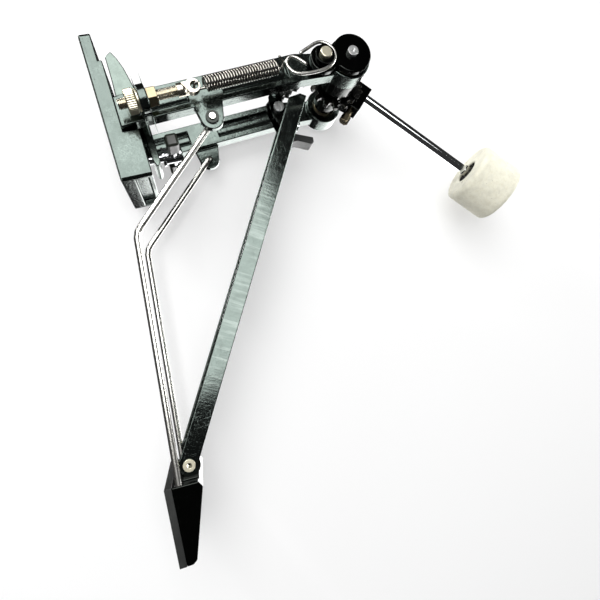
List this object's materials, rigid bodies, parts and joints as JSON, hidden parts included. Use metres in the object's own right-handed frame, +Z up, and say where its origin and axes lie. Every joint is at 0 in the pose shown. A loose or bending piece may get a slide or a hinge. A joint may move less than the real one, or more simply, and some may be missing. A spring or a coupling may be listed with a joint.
{
  "type": "bass drum pedal",
  "caption": "Single chain-drive bass drum pedal with a felt beater, side tension spring, hoop clamp and a footboard hinged on a heel plate held by bent rods.",
  "frame": {"origin": "underside of the base casting, on its mid-plane, straight below the axle", "axes": "+Z up from the base to the axle, +X from the drum side towards the heel, +Y to the player's right (the spring is on the -Y side)"},
  "size_m": [0.4039, 0.121, 0.4075],
  "materials": {
    "cast_body": "gloss dark grey paint over a fine cast texture",
    "black_metal": "gloss black paint",
    "board_metal": "gloss black paint with fine cross brushing",
    "jaw_metal": "dark grey green paint",
    "bright_steel": "polished plating",
    "dark_nickel": "dull plating",
    "bearing_steel": "ground",
    "chain_steel": "oiled",
    "brass": "pale plated",
    "dull_brass": "dull plated",
    "grip_plastic": "moulded",
    "felt": "pressed felt with dark specks",
    "sole_rubber": "matt",
    "toe_rubber": "matt"
  },
  "bodies": {
    "frame": {"base_casting": "cast_body", "left_post": "cast_body", "right_post": "cast_body", "post_bolts": "bright_steel", "jaw_pivot_pin": "bright_steel", "axle_bearings": "bearing_steel", "axle_sleeve": "black_metal", "bearing_ring": "brass", "tension_washer": "brass", "lock_nut": "dull_brass"},
    "jaw": {"hoop_jaw": "jaw_metal"},
    "clamp_collar": {"clamp_washer": "bright_steel"},
    "wing_bolt": {"wing_bolt": "bright_steel", "wing_grips": "grip_plastic"},
    "tension_nut": {"knurled_nut": "brass"},
    "tension_rod": {"adjusting_rod": "dark_nickel"},
    "spring": {"spring_coil": "dark_nickel"},
    "axle": {"axle_shaft": "bright_steel", "crank_plate": "black_metal", "crank_screw": "bright_steel", "crank_pin": "brass", "pin_roller": "black_metal", "sprocket": "black_metal", "chain_wrap": "chain_steel", "beater_clamp": "black_metal", "beater_clamp_screw": "dull_brass", "axle_collar": "black_metal", "axle_washer": "brass"},
    "beater": {"beater_rod": "bright_steel", "felt_head": "felt", "felt_washers": "dark_nickel", "felt_nuts": "dark_nickel"},
    "stirrup": {"stirrup_wire": "bright_steel"},
    "heel": {"left_radius_rod": "bright_steel", "right_radius_rod": "bright_steel", "rod_clips": "black_metal", "heel_plate": "black_metal", "heel_sole": "sole_rubber", "heel_rivets": "brass"},
    "footboard": {"footboard": "board_metal", "toe_bracket": "black_metal", "toe_bolts": "bright_steel", "toe_screw": "bright_steel", "toe_stop": "toe_rubber"},
    "toe_pin": {"chain_toe_pin": "bright_steel"},
    "chain": {"chain_strand": "chain_steel"}
  },
  "joints": [
    {"name": "axle_turn", "type": "hinge", "parent": "frame", "child": "axle", "pos_m": [0, 0, 0.2037], "axis": [0, -1, 0], "range_deg": [-4, 50], "stiffness_Nm_per_rad": 1},
    {"name": "beater_height", "type": "slide", "parent": "axle", "child": "beater", "axis": [0.7443, 0, 0.6678], "range_m": [-0.03, 0.008]},
    {"name": "stirrup_swing", "type": "hinge", "parent": "axle", "child": "stirrup", "pos_m": [0.0005, -0.061, 0.1782], "axis": [0, -1, 0], "range_deg": [-62, 8]},
    {"name": "rod_swing", "type": "hinge", "parent": "frame", "child": "heel", "pos_m": [0.0253, 0, 0.0797], "axis": [0, -1, 0], "range_deg": [0, 7]},
    {"name": "footboard_press", "type": "hinge", "parent": "heel", "child": "footboard", "pos_m": [0.277, 0, -0.0116], "axis": [0, -1, 0], "range_deg": [-1, 6]},
    {"name": "toe_pin_turn", "type": "hinge", "parent": "footboard", "child": "toe_pin", "pos_m": [0.00305, -0.008, 0.14275], "axis": [0, -1, 0], "range_deg": [-16, 1]},
    {"name": "chain_swing", "type": "hinge", "parent": "toe_pin", "child": "chain", "pos_m": [0.00305, -0.008, 0.14275], "axis": [0, -1, 0], "range_deg": [-21, 3]},
    {"name": "clamp_turn", "type": "hinge", "parent": "clamp_collar", "child": "wing_bolt", "pos_m": [0.0301, 0, 0.03], "axis": [0, 0, -1], "range_deg": [-240, 620]},
    {"name": "clamp_feed", "type": "slide", "parent": "jaw", "child": "clamp_collar", "axis": [0, 0, -1], "range_m": [-0.00083, 0.00215]},
    {"name": "jaw_tilt", "type": "hinge", "parent": "frame", "child": "jaw", "pos_m": [-0.008, 0, 0.022], "axis": [0, -1, 0], "range_deg": [-1.5, 3.6]},
    {"name": "tension_nut_turn", "type": "hinge", "parent": "frame", "child": "tension_nut", "pos_m": [0.01, -0.061, 0.025], "axis": [-0.0619, 0, 0.9981], "range_deg": [-570, 570]},
    {"name": "tension_rod_slide", "type": "slide", "parent": "frame", "child": "tension_rod", "axis": [0.0619, 0, -0.9981], "range_m": [-0.00197, 0.00197]},
    {"name": "spring_stretch", "type": "slide", "parent": "stirrup", "child": "spring", "axis": [0.0619, 0, -0.9981], "range_m": [-0.0012, 0.0102], "deforming": ["spring_coil"]}
  ],
  "couplings": [
    {"joint": "stirrup_swing", "follows": "axle_turn", "ratio": -1.195},
    {"joint": "footboard_press", "follows": "axle_turn", "ratio": 0.095},
    {"joint": "chain_swing", "follows": "axle_turn", "ratio": -0.382},
    {"joint": "toe_pin_turn", "follows": "rod_swing", "ratio": -2.08},
    {"joint": "spring_stretch", "follows": "axle_turn", "m_per_rad": 0.0114},
    {"joint": "clamp_turn", "follows": "clamp_feed", "rad_per_m": 5026.5},
    {"joint": "jaw_tilt", "follows": "clamp_feed", "rad_per_m": 26.247},
    {"joint": "tension_nut_turn", "follows": "tension_rod_slide", "rad_per_m": 5026.5}
  ]
}
